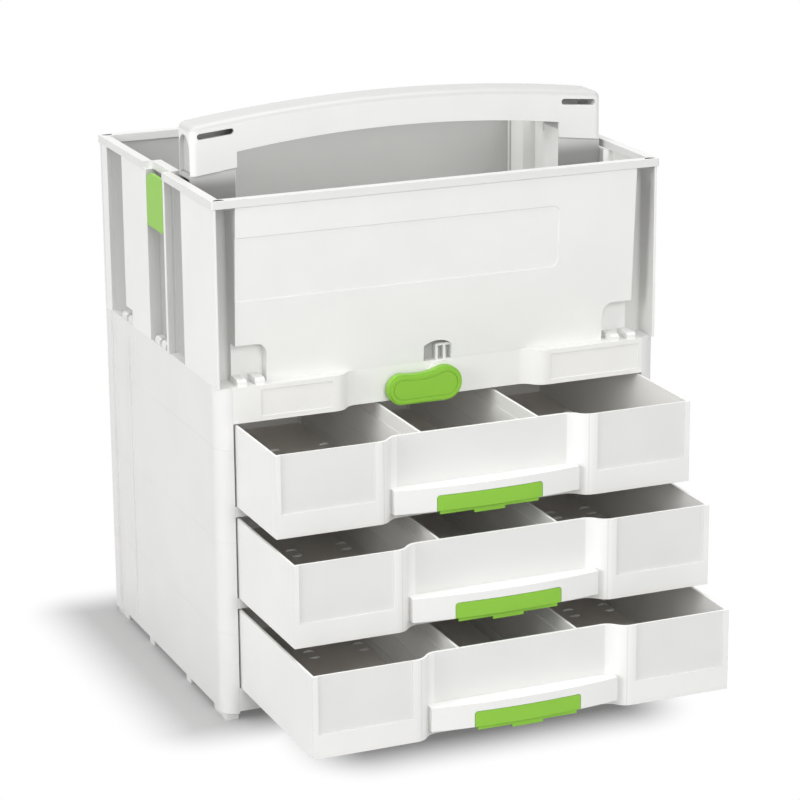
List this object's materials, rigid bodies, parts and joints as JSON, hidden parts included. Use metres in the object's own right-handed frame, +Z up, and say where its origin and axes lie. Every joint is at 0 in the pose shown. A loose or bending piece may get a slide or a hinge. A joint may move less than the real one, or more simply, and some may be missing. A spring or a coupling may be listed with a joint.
{
  "type": "socket organizer drawer box",
  "caption": "Drawer cabinet with sliding bins and press triggers, topped by an open tote with a height-adjustable carrying handle, held by a turning latch.",
  "frame": {"origin": "on the floor, at the middle of the case's footprint with the drawers left out", "axes": "+Z up, -Y towards the drawer fronts, +X to the right seen from the front"},
  "size_m": [0.396, 0.465, 0.496],
  "materials": {
    "white_plastic": "fine satin grain",
    "green_plastic": "satin",
    "steel": "zinc plated"
  },
  "bodies": {
    "case": {"cabinet_side_left": "white_plastic", "cabinet_side_right": "white_plastic", "cabinet_top": "white_plastic", "cabinet_base": "white_plastic", "cabinet_back": "white_plastic", "bay_shelf_upper": "white_plastic", "bay_shelf_lower": "white_plastic", "base_screws": "steel", "latch_pivot": "steel", "tote_body": "white_plastic", "lever_pin_left": "steel", "lever_pin_right": "steel"},
    "knob": {"latch_knob": "green_plastic"},
    "handle": {"handle_grip": "white_plastic", "handle_leg_left": "white_plastic", "handle_leg_right": "white_plastic", "handle_screws": "steel"},
    "lever_left": {"lock_lever_left": "green_plastic"},
    "lever_right": {"lock_lever_right": "green_plastic"},
    "drawer_1": {"drawer_1_tray": "white_plastic", "drawer_1_divider_left": "white_plastic", "drawer_1_divider_right": "white_plastic", "drawer_1_trigger_pin": "steel"},
    "trigger_1": {"drawer_1_trigger": "green_plastic"},
    "drawer_2": {"drawer_2_tray": "white_plastic", "drawer_2_divider_left": "white_plastic", "drawer_2_divider_right": "white_plastic", "drawer_2_trigger_pin": "steel"},
    "trigger_2": {"drawer_2_trigger": "green_plastic"},
    "drawer_3": {"drawer_3_tray": "white_plastic", "drawer_3_divider_left": "white_plastic", "drawer_3_divider_right": "white_plastic", "drawer_3_trigger_pin": "steel"},
    "trigger_3": {"drawer_3_trigger": "green_plastic"}
  },
  "joints": [
    {"name": "knob_turn", "type": "hinge", "parent": "case", "child": "knob", "pos_m": [0.0035, -0.1395, 0.268], "axis": [0, 1, 0], "range_deg": [0, 90]},
    {"name": "handle_slide", "type": "slide", "parent": "case", "child": "handle", "axis": [0, 0, 1], "range_m": [-0.05, 0]},
    {"name": "lever_left_press", "type": "hinge", "parent": "case", "child": "lever_left", "pos_m": [-0.1893, -0.0005, 0.3908], "axis": [0, 1, 0], "range_deg": [0, 10], "stiffness_Nm_per_rad": 0.1, "springref_deg": -5.73},
    {"name": "lever_right_press", "type": "hinge", "parent": "case", "child": "lever_right", "pos_m": [0.1893, -0.0005, 0.3908], "axis": [0, -1, 0], "range_deg": [0, 10], "stiffness_Nm_per_rad": 0.1, "springref_deg": -5.73},
    {"name": "drawer_1_slide", "type": "slide", "parent": "case", "child": "drawer_1", "axis": [0, -1, 0], "range_m": [-0.09, 0.11]},
    {"name": "trigger_1_press", "type": "hinge", "parent": "drawer_1", "child": "trigger_1", "pos_m": [0, -0.2332, 0.206], "axis": [1, 0, 0], "range_deg": [0, 12], "stiffness_Nm_per_rad": 0.05, "springref_deg": -8.59},
    {"name": "drawer_2_slide", "type": "slide", "parent": "case", "child": "drawer_2", "axis": [0, -1, 0], "range_m": [-0.126, 0.074]},
    {"name": "trigger_2_press", "type": "hinge", "parent": "drawer_2", "child": "trigger_2", "pos_m": [0, -0.2692, 0.127], "axis": [1, 0, 0], "range_deg": [0, 12], "stiffness_Nm_per_rad": 0.05, "springref_deg": -8.59},
    {"name": "drawer_3_slide", "type": "slide", "parent": "case", "child": "drawer_3", "axis": [0, -1, 0], "range_m": [-0.163, 0.037]},
    {"name": "trigger_3_press", "type": "hinge", "parent": "drawer_3", "child": "trigger_3", "pos_m": [0, -0.3062, 0.048], "axis": [1, 0, 0], "range_deg": [0, 12], "stiffness_Nm_per_rad": 0.05, "springref_deg": -8.59}
  ]
}
